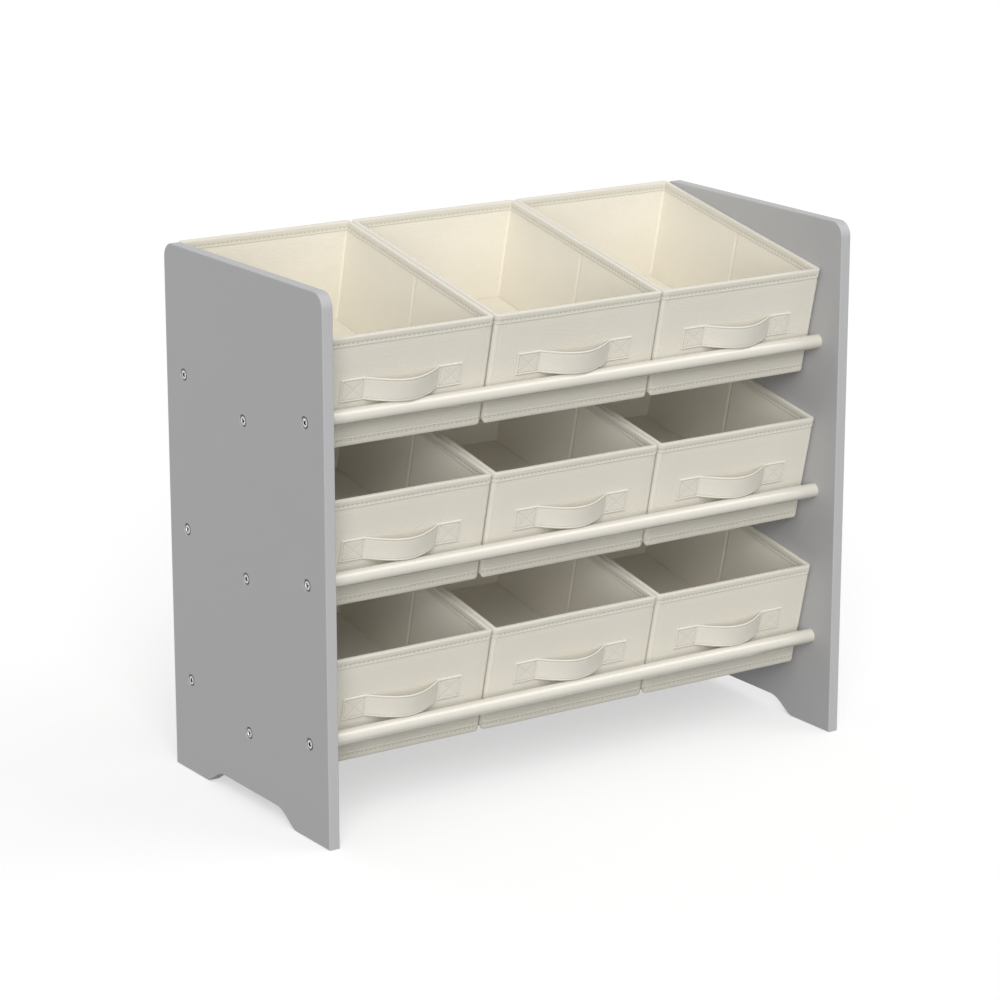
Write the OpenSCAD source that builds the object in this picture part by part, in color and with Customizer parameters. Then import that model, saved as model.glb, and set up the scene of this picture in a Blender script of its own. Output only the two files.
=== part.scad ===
// Toy shelf: nine board-stiffened fabric bins lie on sloping tiers of tubes between two side panels.
// X runs across the shelf, -Y is its front and the panels stand on Z = 0. The origin is on the floor,
// under the middle of the shelf's box. Sizes are in millimetres.

/* [Side panels] */
// Overall width, over both side panels
shelf_w = 632; // [560:1:720]
// Depth of a side panel
panel_d = 305; // [290:1:340]
// Height of a side panel
panel_h = 550; // [535:1:620]
// Thickness of a side panel
panel_t = 12; // [10:0.5:18]
// Radius of a side panel's top corners
top_corner_r = 15.5; // [5:0.5:40]
// Length of each foot along the floor
foot_l = 65; // [40:1:80]
// Length over which the cut-out between the feet rises
ogee_l = 36.5; // [30:0.5:60]
// Height of the cut-out between the feet
arch_h = 15.7; // [8:0.1:25]

/* [Tubes] */
// Outer diameter of a tube
tube_d = 15; // [12:0.5:18]
// Wall of a tube
tube_wall = 1.2; // [0.8:0.1:2]
// Distance of the front and rear tubes from the panel's edges
tube_inset = 34.9; // [25:0.1:45]
// Height of the lowest front and rear tubes over the floor
low_tube_z = 99; // [90:0.5:110]
// Height from one tier to the next
tier_pitch = 160.5; // [152:0.5:175]
// Height that the centre tube of a tier lies below the other two
centre_drop = 22.8; // [16:0.2:30]
// Length of the plug in each end of a tube
plug_l = 30; // [20:1:40]

/* [Screws] */
// Diameter of a screw's head
head_d = 11; // [9:0.5:12]
// Diameter of a screw's shank
shank_d = 6; // [4:0.5:7]
// Length that a screw reaches into its plug
grip_l = 20; // [12:1:28]
// Depth of a screw's head below the face of the panel
head_sunk = 1; // [0.5:0.1:2]
// Depth of the cross recess in a screw's head
cross_depth = 1.8; // [1:0.1:2.4]
// Width of the cross recess over its arms
cross_w = 5.6; // [4:0.1:7]
// Width of one arm of the cross recess
cross_arm = 1.3; // [0.8:0.1:1.6]

/* [Bins] */
// Depth of a bin, square to its front and rear walls
bin_d = 273.8; // [250:0.1:285]
// Height of a bin, square to its bottom
bin_h = 113.2; // [95:0.1:125]
// Gap between neighbouring bins, from binding to binding
bin_gap = 1.2; // [0.8:0.1:6]
// Angle by which the front and rear walls lean forward of square
bin_lean = 2.2; // [0:0.1:4]
// Gap between the front tube and an upper bin
upper_front_gap = 5.8; // [3:0.1:12]
// Gap between the front tube and a bin of the other two tiers
lower_front_gap = 9.8; // [3:0.1:12]
// Radius of a bin's upright corners
bin_corner_r = 4; // [2:0.5:8]
// Thickness of one layer of the cloth
cloth_t = 0.8; // [0.6:0.1:1.2]
// Thickness of the boards that stiffen the walls
board_t = 1.8; // [1.2:0.1:3]
// Width of the seam at the ends of each board
seam_w = 5; // [3:0.5:8]
// Width of the crease at which a side wall folds
crease_w = 3; // [2:0.5:6]
// Thickness of the cloth-covered board on the bottom of a bin
base_t = 2.4; // [1.5:0.1:4]
// Height of the hem that hangs below the bottom, at the front and the rear
hem_drop = 2.4; // [1:0.1:4]
// Thickness of that hem
hem_t = 2; // [1:0.1:3]
// Height of the binding on the rim
binding_h = 9; // [5:0.5:14]
// Thickness of the binding
binding_t = 0.6; // [0.4:0.1:1]

/* [Handles] */
// Length of a handle, over its sewn ends
handle_l = 138; // [110:1:150]
// Length of each sewn end
patch_l = 27; // [18:1:35]
// Height of the strap
strap_h = 24; // [18:0.2:30]
// Thickness of the strap
strap_t = 1.6; // [1:0.1:2.5]
// Room for fingers between the strap and the wall
strap_bow = 17; // [8:0.1:22]
// Gap between the strap and the front tube under it
handle_gap = 0.6; // [0.3:0.1:3]

/* [Hidden] */
$fn = 48;

TIERS = ["upper", "middle", "lower"];
COLUMNS = ["left", "centre", "right"];
ROWS = ["front", "centre", "rear"];
BIN_PARTS = ["shell", "binding", "handle", "boards", "base"];

// Clearances: between pieces that are fixed together, and between a bin and the tubes under it
fit = 0.05;
rest_gap = 0.3;
// Extra length of a cut past the surface that it opens
past = 1;
// Steps along each curved stretch of an outline
curve_steps = 20;
bow_steps = 24;
// Shares of the cut-out's rise that are curved: where it leaves the foot and where it meets the arch
foot_curve = 0.12;
arch_curve = 0.5;

inner_w = shelf_w - 2 * panel_t;
column_w = inner_w / len(COLUMNS);
tube_y = panel_d / 2 - tube_inset;
wall_t = 2 * cloth_t + board_t + 2 * fit;
// Width over a bin's walls, inside its binding
bin_w = column_w - bin_gap - 2 * (binding_t + fit);

// Slope of the bins, which lie on the centre and rear tubes of their tier
slope = atan(centre_drop / tube_y);
// Axis of the front tube, seen from the bin's bottom over the centre tube: along the slope and square to it
front_tube_u = centre_drop * sin(slope) - tube_y * cos(slope);
front_tube_v = centre_drop * cos(slope) + tube_y * sin(slope) - tube_d / 2 - rest_gap;
// The same axis in the frame of the bin's leaning walls: square to the front wall and along it
front_tube_out = front_tube_u * cos(bin_lean) + front_tube_v * sin(bin_lean);
front_tube_up = front_tube_v * cos(bin_lean) - front_tube_u * sin(bin_lean);

// Outer face of a bin's front wall, in the frame of its leaning walls
function front_y(t) = front_tube_out + tube_d / 2 + (t == 0 ? upper_front_gap : lower_front_gap);
// How far a bin's lowest rear corner reaches behind the centre tube
function rear_reach(t) =
    (front_y(t) + bin_d + hem_drop * sin(bin_lean)) * cos(slope) / cos(bin_lean)
    - (tube_d / 2 + rest_gap - hem_drop) * sin(slope);

// Middle of the panels, which the bins overhang at the rear
middle_y = -max(0, rear_reach(0) - panel_d / 2, rear_reach(1) - panel_d / 2) / 2;

function tube_row_y(r) = middle_y + (r - 1) * tube_y;
function tube_z(t, r) = low_tube_z + (len(TIERS) - 1 - t) * tier_pitch - (r == 1 ? centre_drop : 0);
function column_x(c) = (c - (len(COLUMNS) - 1) / 2) * column_w;

// Side panels

// Rise of the cut-out's edge from a foot to the arch, as a share of its height: a curve, a straight and a curve
function ogee(s) =
    let (steep = 1 / (1 - (foot_curve + arch_curve) / 2))
    s < foot_curve ? steep * s * s / (2 * foot_curve)
    : s < 1 - arch_curve ? steep * (s - foot_curve / 2)
    : 1 - steep * (1 - s) * (1 - s) / (2 * arch_curve);

module arch_outline() {
    half = panel_d / 2 - foot_l;
    front = [for (i = [0:curve_steps]) [ogee_l * i / curve_steps - half, arch_h * ogee(i / curve_steps)]];
    rear = [for (i = [curve_steps:-1:0]) [half - ogee_l * i / curve_steps, arch_h * ogee(i / curve_steps)]];
    polygon(concat([[-half, -past]], front, rear, [[half, -past]]));
}

module panel_outline() {
    difference() {
        union() {
            translate([-panel_d / 2, 0]) square([panel_d, panel_h - top_corner_r]);
            translate([top_corner_r - panel_d / 2, 0]) square([panel_d - 2 * top_corner_r, panel_h]);
            for (side = [-1, 1])
                translate([side * (panel_d / 2 - top_corner_r), panel_h - top_corner_r])
                    circle(r = top_corner_r);
        }
        arch_outline();
    }
}

// Places its children at the left end of each tube, on the face x of the panel, looking along +X
module at_tube_ends(x) {
    for (t = [0:len(TIERS) - 1]) for (r = [0:len(ROWS) - 1])
        translate([x, tube_row_y(r), tube_z(t, r)]) rotate([0, 90, 0]) children();
}

module screw_hole() {
    sink_r = head_d / 2 + head_sunk + fit;
    translate([0, 0, -past]) cylinder(h = panel_t + 2 * past, d = shank_d + 4 * fit);
    cylinder(h = sink_r, r1 = sink_r, r2 = 0);
    translate([0, 0, -past]) cylinder(h = past, r = sink_r);
}

module left_panel() {
    color("#a0a0a0") difference() {
        translate([-shelf_w / 2, middle_y, 0]) rotate([90, 0, 90]) linear_extrude(panel_t) panel_outline();
        at_tube_ends(-shelf_w / 2) screw_hole();
    }
}

module right_panel() mirror([1, 0, 0]) left_panel();

// Tubes, their plugs and the screws

module tube(t, r) {
    color("#ece8dc") translate([-inner_w / 2, tube_row_y(r), tube_z(t, r)]) rotate([0, 90, 0]) difference() {
        cylinder(h = inner_w, d = tube_d);
        translate([0, 0, -past]) cylinder(h = inner_w + 2 * past, d = tube_d - 2 * tube_wall);
    }
}

module plug() {
    difference() {
        cylinder(h = plug_l, d = tube_d - 2 * tube_wall - 2 * fit);
        translate([0, 0, -past]) cylinder(h = plug_l + 2 * past, d = shank_d + 2 * fit);
    }
}

module left_plugs() color("#8f8f8c") at_tube_ends(-inner_w / 2) plug();
module right_plugs() mirror([1, 0, 0]) left_plugs();

module screw() {
    difference() {
        translate([0, 0, head_sunk]) union() {
            cylinder(h = (head_d - shank_d) / 2, d1 = head_d, d2 = shank_d);
            cylinder(h = panel_t - head_sunk + grip_l, d = shank_d);
        }
        for (turn = [0, 90]) rotate([0, 0, turn])
            translate([-cross_w / 2, -cross_arm / 2, head_sunk - past])
                cube([cross_w, cross_arm, cross_depth + past]);
    }
}

module left_screws() color("#c9cacc") at_tube_ends(-shelf_w / 2) screw();
module right_screws() mirror([1, 0, 0]) left_screws();

// Bins. A bin's own frame has its origin over the centre tube, Y up the slope and Z square to the bottom.

module in_bin(t, c) {
    translate([column_x(c), middle_y, tube_z(t, 1)]) rotate([slope, 0, 0])
        translate([0, 0, tube_d / 2 + rest_gap]) children();
}

// Cuts its children, which stand along the leaning walls, to the heights from v0 to v1 over the bottom
module between(v0, v1) {
    span = 4 * bin_d;
    intersection() {
        translate([-span / 2, -span / 2, v0]) cube([span, span, v1 - v0]);
        rotate([bin_lean, 0, 0]) children();
    }
}

// An upright slab of the walls' frame, y being counted from the bin's front face
module slab(t, x0, x1, y0, y1) {
    translate([x0, front_y(t) + y0, -bin_h]) cube([x1 - x0, y1 - y0, 3 * bin_h]);
}

module rounded_rect(w, d, r) {
    square([w - 2 * r, d], center = true);
    square([w, d - 2 * r], center = true);
    for (x = [-1, 1]) for (y = [-1, 1])
        translate([x * (w / 2 - r), y * (d / 2 - r)]) circle(r = r);
}

// The bin's body, drawn in by inset on all four sides
module block(t, inset, v0, v1) {
    between(v0, v1) translate([0, front_y(t) + bin_d / 2, -bin_h]) linear_extrude(3 * bin_h)
        rounded_rect(bin_w - 2 * inset, bin_d - 2 * inset, max(bin_corner_r - inset, cloth_t));
}

// The places of the six boards in the walls, each drawn in by slack all round
module board_slabs(t, slack) {
    depth = board_t + 2 * fit;
    half_w = bin_w / 2 - wall_t - seam_w;
    front_end = wall_t + seam_w;
    for (y = [cloth_t, bin_d - cloth_t - depth])
        slab(t, slack - half_w, half_w - slack, y + slack, y + depth - slack);
    for (x = [-bin_w / 2 + cloth_t, bin_w / 2 - cloth_t - depth])
        for (y = [front_end, (bin_d + crease_w) / 2])
            slab(t, x + slack, x + depth - slack, y + slack, y + (bin_d - crease_w) / 2 - front_end - slack);
}

module bin_shell(t, c) {
    color("#d9d3c4") in_bin(t, c) difference() {
        union() {
            block(t, 0, 0, bin_h);
            for (y = [0, bin_d - hem_t])
                between(-hem_drop, cloth_t)
                    slab(t, bin_corner_r - bin_w / 2, bin_w / 2 - bin_corner_r, y, y + hem_t);
        }
        block(t, wall_t, cloth_t, bin_h + past);
        between(seam_w, bin_h + past) board_slabs(t, 0);
    }
}

module bin_boards(t, c) {
    color("#b59b74") in_bin(t, c) between(seam_w + fit, bin_h - fit) board_slabs(t, fit);
}

// The board lies on the bottom, held all round by the walls
module bin_base(t, c) {
    color("#cfc8b8") in_bin(t, c) block(t, wall_t + 4 * fit, cloth_t + fit, cloth_t + fit + base_t);
}

// A tape folded over the rim, with a band on each side of the wall
module bin_binding(t, c) {
    low = bin_h - binding_h;
    color("#e4dfd1") in_bin(t, c) difference() {
        block(t, -fit - binding_t, low, bin_h + fit + binding_t);
        block(t, wall_t + fit + binding_t, low - past, bin_h + binding_t + past);
        difference() {
            block(t, -fit, low - past, bin_h + fit);
            block(t, wall_t + fit, low - 2 * past, bin_h + binding_t);
        }
    }
}

// How far the strap stands off the wall, s running from 0 to 1 between its sewn ends
function bow(s) = strap_bow * sin(180 * s);

module strap_outline() {
    free_l = handle_l - 2 * patch_l;
    curve = [for (i = [0:bow_steps]) [free_l * (i / bow_steps - 0.5), -bow(i / bow_steps)]];
    inner = concat([[-handle_l / 2, 0]], curve, [[handle_l / 2, 0]]);
    polygon(concat(inner, [for (i = [len(inner) - 1:-1:0]) inner[i] - [0, strap_t]]));
}

module bin_handle(t, c) {
    color("#e2dccd") in_bin(t, c) rotate([bin_lean, 0, 0])
        translate([0, front_y(t) - fit, front_tube_up + tube_d / 2 + handle_gap])
            linear_extrude(strap_h) strap_outline();
}

left_panel();
right_panel();
left_plugs();
right_plugs();
left_screws();
right_screws();
for (t = [0:len(TIERS) - 1]) for (r = [0:len(ROWS) - 1])
    tube(t, r);
for (t = [0:len(TIERS) - 1]) for (c = [0:len(COLUMNS) - 1]) {
    bin = str(TIERS[t], "_", COLUMNS[c], "_bin_");
    bin_shell(t, c);
    bin_binding(t, c);
    bin_handle(t, c);
    bin_boards(t, c);
    bin_base(t, c);
}
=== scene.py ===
"""Looks of a toy shelf: nine cloth bins lie on sloping tiers of tubes between two side panels."""

import logging
import math
from dataclasses import dataclass
from enum import Enum
from typing import Any, Callable, Iterable, Sequence, TypeAlias

import bmesh
import bpy
from bmesh.types import BMesh
from mathutils import Matrix, Vector, noise


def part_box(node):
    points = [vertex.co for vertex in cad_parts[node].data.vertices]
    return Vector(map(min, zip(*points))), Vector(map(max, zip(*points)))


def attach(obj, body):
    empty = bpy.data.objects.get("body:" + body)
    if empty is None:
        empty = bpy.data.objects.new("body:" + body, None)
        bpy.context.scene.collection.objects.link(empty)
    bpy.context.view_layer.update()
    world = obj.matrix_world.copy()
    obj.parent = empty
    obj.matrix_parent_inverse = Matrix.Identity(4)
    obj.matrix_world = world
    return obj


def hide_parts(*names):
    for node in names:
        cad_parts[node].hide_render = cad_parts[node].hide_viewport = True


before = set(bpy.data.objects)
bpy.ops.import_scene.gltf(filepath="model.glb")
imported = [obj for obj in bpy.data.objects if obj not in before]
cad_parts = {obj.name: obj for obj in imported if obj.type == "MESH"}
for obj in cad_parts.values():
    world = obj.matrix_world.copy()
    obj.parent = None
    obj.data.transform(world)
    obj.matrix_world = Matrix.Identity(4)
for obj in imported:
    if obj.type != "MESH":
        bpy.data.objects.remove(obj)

Triple = tuple[float, float, float]
Colour = Triple
Profile = Sequence[tuple[float, float]]
Run = tuple[float, int]
Socket = bpy.types.NodeSocket
Material = bpy.types.Material
Term: TypeAlias = "Value | float"
Inputs = dict[str, Any]
Extras = tuple[tuple[str, float], ...]

MM = 0.001
FRAME_BODY = "frame"
WEAVE_MAP = "weave"
# A lining lies this far over on its cloth map, in metres, so that its material can tell it from outer cloth
# and paint light on it.
LINING_SHIFT = 1.0
STITCH_PITCH = 5.3 * MM
UP = Vector((0.0, 0.0, 1.0))
WHITE = (1.0, 1.0, 1.0)

log = logging.getLogger("toy_shelf")


class Tier(Enum):
    """The three sloping tiers, from the top."""

    UPPER = "upper"
    MIDDLE = "middle"
    LOWER = "lower"


class Column(Enum):
    """The three bins of a tier, from the left."""

    LEFT = "left"
    CENTRE = "centre"
    RIGHT = "right"


class Row(Enum):
    """The three tubes of a tier, from the front."""

    FRONT = "front"
    CENTRE = "centre"
    REAR = "rear"


class Side(Enum):
    """The two ends of the shelf; the value is the X direction that points out of the panel."""

    LEFT = -1
    RIGHT = 1

    @property
    def label(self) -> str:
        """The side's word in the names of nodes."""
        return self.name.lower()


def tube_node(tier: Tier, row: Row) -> str:
    """Gives the name of a tube's CAD node."""
    return f"{tier.value}_{row.value}_tube"


TUBES = [tube_node(tier, row) for tier in Tier for row in Row]


def srgb(*levels: int) -> Colour:
    """Turns a screen's red, green and blue, up to 255, into the linear colour that a shader takes."""
    shares = [level / 255 for level in levels]
    return tuple(s / 12.92 if s <= 0.04045 else ((s + 0.055) / 1.055) ** 2.4 for s in shares)


def scaled(colour: Colour, factor: float) -> Colour:
    """Makes a colour lighter or darker by a factor."""
    return tuple(min(1.0, channel * factor) for channel in colour)


def bump(distance: float, reach: float) -> float:
    """Gives a smooth hump: 1 at no distance, 0 from the reach on."""
    share = min(1.0, abs(distance) / reach)
    return (1.0 - share * share) ** 2


def smooth(value: float, low: float, high: float) -> float:
    """Gives a smooth step: 0 up to low, 1 from high on."""
    share = min(1.0, max(0.0, (value - low) / (high - low)))
    return share * share * (3.0 - 2.0 * share)


class Value:
    """A number that varies over a surface: a socket to which Python's operators add Math nodes."""

    def __init__(self, tree: "ShaderTree", socket: Socket) -> None:
        """Wraps a socket of a tree."""
        self.tree = tree
        self.socket = socket

    def _maths(self, operation: str, first: Term, second: Term = 0.0) -> "Value":
        """Adds a Math node for one operation on two terms."""
        inputs = {"Value": first, "Value_001": second}
        return self.tree.value("ShaderNodeMath", {"operation": operation}, inputs)

    def __add__(self, other: Term) -> "Value":
        """Adds a term, which may stand on either side."""
        return self._maths("ADD", self, other)

    def __sub__(self, other: Term) -> "Value":
        """Takes a term away."""
        return self._maths("SUBTRACT", self, other)

    def __rsub__(self, other: float) -> "Value":
        """Takes this value away from a number."""
        return self._maths("SUBTRACT", other, self)

    def __mul__(self, other: Term) -> "Value":
        """Multiplies by a term, which may stand on either side."""
        return self._maths("MULTIPLY", self, other)

    __radd__ = __add__
    __rmul__ = __mul__

    def sine(self) -> "Value":
        """Gives the sine of the value, in radians."""
        return self._maths("SINE", self)

    def size(self) -> "Value":
        """Gives the value without its sign."""
        return self._maths("ABSOLUTE", self)

    def above(self, least: float) -> "Value":
        """Gives how far the value is over a limit, and 0 below it."""
        return self._maths("MAXIMUM", self - least, 0.0)

    def wave(self, pitch: float, phase: float = 0.0) -> "Value":
        """Gives a wave from 0 to 1 that repeats at each pitch."""
        return 0.5 + 0.5 * (self * (math.tau / pitch) + phase).sine()


class ShaderTree:
    """A material under construction."""

    def __init__(self, name: str) -> None:
        """Starts an empty material of that name."""
        self.material = bpy.data.materials.new(name)
        self.material.use_nodes = True
        self.tree = self.material.node_tree
        self.tree.nodes.clear()

    @classmethod
    def of_world(cls, world: bpy.types.World) -> "ShaderTree":
        """Starts on the empty tree of a world instead of a material."""
        made = cls.__new__(cls)
        world.use_nodes = True
        made.material = None
        made.tree = world.node_tree
        made.tree.nodes.clear()
        return made

    def node(self, kind: str, settings: Inputs | None = None, inputs: Inputs | None = None) -> bpy.types.Node:
        """Adds a node.

        Args:
            kind: The node's type.
            settings: Its properties, which are set first.
            inputs: What its sockets hold, by identifier or name: a number, a colour, a Value or a socket.

        Returns:
            The node.
        """
        made = self.tree.nodes.new(kind)
        for name, setting in (settings or {}).items():
            setattr(made, name, setting)
        for name, held in (inputs or {}).items():
            socket = next((s for s in made.inputs if s.identifier == name), None) or made.inputs[name]
            if isinstance(held, Value):
                self.tree.links.new(held.socket, socket)
            elif isinstance(held, Socket):
                self.tree.links.new(held, socket)
            else:
                socket.default_value = (*held, 1.0) if socket.type == "RGBA" else held
        return made

    def value(self, kind: str, settings: Inputs | None = None, inputs: Inputs | None = None) -> Value:
        """Adds a node and gives its first output as a Value."""
        return Value(self, self.node(kind, settings, inputs).outputs[0])

    def place(self) -> Socket:
        """Gives the place of a point, in metres."""
        return self.node("ShaderNodeTexCoord").outputs["Object"]

    def weave(self) -> tuple[Value, Value]:
        """Gives the two directions of a piece's own cloth map, in metres."""
        mapped = self.node("ShaderNodeUVMap", {"uv_map": WEAVE_MAP})
        parts = self.node("ShaderNodeSeparateXYZ", inputs={"Vector": mapped.outputs["UV"]})
        return Value(self, parts.outputs["X"]), Value(self, parts.outputs["Y"])

    def across(self) -> Value:
        """Gives a point's X, in metres."""
        return self.value("ShaderNodeSeparateXYZ", inputs={"Vector": self.place()})

    def seen(self) -> Value:
        """Gives 1 for the camera's rays and for those mirrored or let through, and 0 for the rest."""
        rays = self.node("ShaderNodeLightPath")
        kinds = [Value(self, rays.outputs[f"Is {kind} Ray"]) for kind in ("Camera", "Glossy", "Transmission")]
        return kinds[0] + kinds[1] + kinds[2]

    def grain(self, size: float, detail: float = 2.0) -> Value:
        """Gives a noise from 0 to 1, with grains of about a size in metres and some finer layers."""
        inputs = {"Vector": self.place(), "Scale": 1.0 / size, "Detail": detail, "Roughness": 0.55}
        return self.value("ShaderNodeTexNoise", inputs=inputs)

    def tint(self, factor: Value, low: Colour | Socket, high: Colour | Socket) -> Socket:
        """Gives a colour between two others.

        Args:
            factor: Share of the second colour.
            low: Colour where the factor is 0.
            high: Colour where the factor is 1.

        Returns:
            The colour's socket.
        """
        inputs = {"Factor_Float": factor, "A_Color": low, "B_Color": high}
        outputs = self.node("ShaderNodeMix", {"data_type": "RGBA"}, inputs).outputs
        return next(output for output in outputs if output.identifier == "Result_Color")

    def surface(self, inputs: Inputs, relief: Value, depth: float) -> Material:
        """Ends the material with a principled shader.

        Args:
            inputs: What the shader's sockets hold.
            relief: Height of the surface's fine relief, from 0 to 1.
            depth: Depth of that relief, in metres.

        Returns:
            The material.
        """
        lift = {"Height": relief, "Distance": depth, "Strength": 1.0}
        normal = self.node("ShaderNodeBump", inputs=lift).outputs["Normal"]
        shader = self.node("ShaderNodeBsdfPrincipled", inputs={**inputs, "Normal": normal})
        self.node("ShaderNodeOutputMaterial", inputs={"Surface": shader.outputs["BSDF"]})
        return self.material


@dataclass(frozen=True)
class Cloth:
    """Cream cloth with a fine emboss in slanting lines."""

    name: str
    colour: Colour = srgb(218, 214, 202)
    pitch: float = 2.35 * MM
    slant: float = math.radians(21.0)
    depth: float = 0.16 * MM
    thread_share: float = 0.62
    fibre: float = 0.45 * MM
    mottle: float = 28 * MM
    contrast: float = 0.055
    roughness: float = 0.84
    sheen: float = 0.12

    def material(self) -> Material:
        """Makes the cloth's material: emboss and fibres in relief, with soft mottling."""
        tree = ShaderTree(self.name)
        across, up = tree.weave()
        rise, run = math.sin(self.slant), math.cos(self.slant)
        lines = (up * run - across * rise).wave(self.pitch)
        threads = (across * run + up * rise).wave(self.thread_share * self.pitch)
        fibres = tree.grain(self.fibre, 3.0)
        mottle = tree.grain(self.mottle)
        shade = 0.3 * mottle + 0.45 * lines + 0.08 * threads + 0.17 * fibres
        colour = self.with_painted_light(tree, shade, across, up)
        inputs = {"Base Color": colour, "Roughness": self.roughness + 0.1 * fibres,
                  "Sheen Weight": self.sheen, "Sheen Roughness": 0.5, "Specular IOR Level": 0.25}
        return tree.surface(inputs, 0.6 * lines + 0.12 * threads + 0.28 * fibres, self.depth)

    def dyed(self, tree: ShaderTree, shade: Value, colour: Colour) -> Socket:
        """Gives a colour with the light and dark of the weave in it."""
        return tree.tint(shade, scaled(colour, 1 - self.contrast), scaled(colour, 1 + self.contrast))

    def with_painted_light(self, tree: ShaderTree, shade: Value, across: Value, up: Value) -> Socket:
        """Gives the colour with its painted light and shade: plain cloth has none."""
        return self.dyed(tree, shade, self.colour)


@dataclass(frozen=True)
class StitchedTape(Cloth):
    """Tape with painted shade in the slanting dips between the stitches of its seam, at map height 0."""

    stitch_pitch: float = STITCH_PITCH
    dip_height: float = 1.35 * MM
    dip_share: float = 0.62
    dip_shade_dark: float = 0.74

    def with_painted_light(self, tree: ShaderTree, shade: Value, across: Value, up: Value) -> Socket:
        """Paints shade into the dips between stitches, each slanting up like the thread beside it."""
        # Painted shade: colour stands in for the shade that falls in the dips between stitches.
        share = up * (1 / self.dip_height)
        band = (1.0 - share * share).above(0.0)
        between = 1.0 - (across - up).wave(self.stitch_pitch, math.pi / 2)
        painted_dip_shade = band * between.above(self.dip_share) * (1 / (1 - self.dip_share))
        return tree.tint(painted_dip_shade, self.dyed(tree, shade, self.colour), scaled(self.colour, self.dip_shade_dark))


@dataclass(frozen=True)
class BoundCloth(Cloth):
    """Wall cloth with painted light on its lining and a painted shadow in a fine line right under the tape
    that binds its rim.
    """

    # Painted light: the lining is the same cloth, drawn lighter to stand in for light inside the bins.
    lining: Colour = srgb(228, 223, 210)
    lining_step: float = 1000.0
    tape_edge: float = 0.0
    # Painted shadow: a fine darker line under the tape's edge stands in for the shadow that the tape casts.
    tape_shadow_height: float = 0.8 * MM
    tape_shadow_dark: float = 0.74

    def with_painted_light(self, tree: ShaderTree, shade: Value, across: Value, up: Value) -> Socket:
        """Paints light on the lining, which is shifted on the map, and paints a shadow in a line under the
        tape's edge.
        """
        lining_light_share = (across - LINING_SHIFT / 2) * self.lining_step
        colour = tree.tint(lining_light_share, self.dyed(tree, shade, self.colour), self.dyed(tree, shade, self.lining))
        line = (1.0 - (up - self.tape_edge).size() * (1 / self.tape_shadow_height)).above(0.0)
        return tree.tint(line, colour, scaled(self.colour, self.tape_shadow_dark))


@dataclass(frozen=True)
class Grained:
    """A stuff whose colour, roughness and relief follow one fine grain, such as board or moulded plastic."""

    name: str
    colour: Colour
    grain: float
    roughness: float
    rougher: float = 0.08
    detail: float = 4.0
    shades: tuple[float, float] = (0.85, 1.12)
    depth: float = 0.1 * MM
    others: Extras = ()

    def material(self) -> Material:
        """Makes the material."""
        tree = ShaderTree(self.name)
        specks = tree.grain(self.grain, self.detail)
        rough = self.roughness + self.rougher * specks
        inputs = {"Base Color": self.coloured(tree, specks), "Roughness": rough, **dict(self.others)}
        return tree.surface(inputs, specks, self.depth)

    def coloured(self, tree: ShaderTree, shade: Value) -> Socket:
        """Gives the colour at a shade from 0 to 1."""
        dark, light = (scaled(self.colour, factor) for factor in self.shades)
        return tree.tint(shade, dark, light)


@dataclass(frozen=True)
class Thread(Grained):
    """Sewing thread in about the cloth's colour, with twisted strands."""

    grain: float = 0.3 * MM
    roughness: float = 0.55
    rougher: float = 0.2
    detail: float = 1.0
    shades: tuple[float, float] = (0.92, 1.04)
    depth: float = 0.08 * MM
    others: Extras = (("Specular IOR Level", 0.3),)


@dataclass(frozen=True)
class Paint(Grained):
    """Satin grey paint on board, with fine speckle, faint clouds and a faint orange peel."""

    name: str = "grey_paint"
    colour: Colour = srgb(173, 173, 174)
    grain: float = 1.1 * MM
    roughness: float = 0.46
    rougher: float = 0.12
    detail: float = 3.0
    shades: tuple[float, float] = (0.965, 1.035)
    depth: float = 0.03 * MM
    others: Extras = (("Specular IOR Level", 0.4),)
    cloud: float = 60 * MM

    def coloured(self, tree: ShaderTree, shade: Value) -> Socket:
        """Gives the colour at a shade from 0 to 1, with the clouds."""
        return super().coloured(tree, 0.6 * shade + 0.4 * tree.grain(self.cloud))


@dataclass(frozen=True)
class Enamel(Grained):
    """Glossy cream powder coat on steel tube, with a faint flow."""

    name: str = "cream_enamel"
    colour: Colour = srgb(208, 204, 193)
    grain: float = 14 * MM
    roughness: float = 0.2
    rougher: float = 0.06
    detail: float = 1.0
    shades: tuple[float, float] = (0.985, 1.015)
    depth: float = 0.02 * MM
    others: Extras = (("Coat Weight", 0.85), ("Coat Roughness", 0.16))


@dataclass(frozen=True)
class Plating(Grained):
    """Finely scratched zinc on the screws, with painted shade that makes it dark deep in the panels' holes.
    """

    name: str = "zinc_plating"
    colour: Colour = srgb(206, 207, 210)
    grain: float = 0.5 * MM
    roughness: float = 0.24
    rougher: float = 0.16
    shades: tuple[float, float] = (0.88, 1.05)
    depth: float = 0.02 * MM
    others: Extras = (("Metallic", 1.0),)
    face: float = 0.0
    # Painted shade: the plating is drawn dark deep in the holes, where shade falls; dark is that shade's
    # colour.
    dark: Colour = srgb(52, 51, 50)
    unshaded_depth: float = 0.36 * MM
    shade_over: float = 0.24 * MM

    def coloured(self, tree: ShaderTree, shade: Value) -> Socket:
        """Gives the colour at a shade from 0 to 1, darkened with painted shade by the depth under the panel's
        face.
        """
        hole_shade = (self.face - tree.across().size()).above(self.unshaded_depth) * (1 / self.shade_over)
        return tree.tint(hole_shade, super().coloured(tree, shade), self.dark)


def as_mesh(name: str, bm: BMesh) -> bpy.types.Mesh:
    """Writes a shape to a new mesh and frees it."""
    mesh = bpy.data.meshes.new(name)
    bm.to_mesh(mesh)
    bm.free()
    return mesh


def linked(name: str, data: bpy.types.ID) -> bpy.types.Object:
    """Puts a mesh, lamp or camera in the scene as a new object."""
    made = bpy.data.objects.new(name, data)
    bpy.context.scene.collection.objects.link(made)
    return made


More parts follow.
